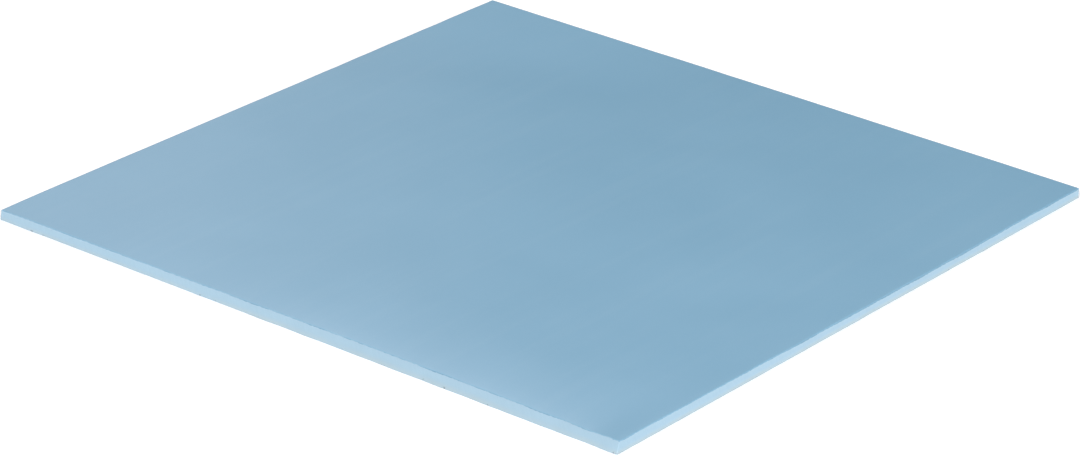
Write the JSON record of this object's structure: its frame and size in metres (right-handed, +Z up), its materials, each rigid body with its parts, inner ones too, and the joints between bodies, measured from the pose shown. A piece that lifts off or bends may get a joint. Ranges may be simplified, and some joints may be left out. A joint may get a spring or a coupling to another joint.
{
  "type": "thermal pad sheet",
  "caption": "Flat square sheet of soft ceramic-filled silicone that carries heat from components across a gap to a heatsink, with knife-cut sides.",
  "frame": {"origin": "middle of the sheet's underside", "axes": "+Z up through the thickness, away from the face the sheet lies on; X and Y along the cut sides"},
  "size_m": [0.1, 0.1, 0.0015],
  "materials": {
    "filled_silicone": "satin"
  },
  "bodies": {
    "root": {"pad_sheet": "filled_silicone"}
  },
  "joints": []
}
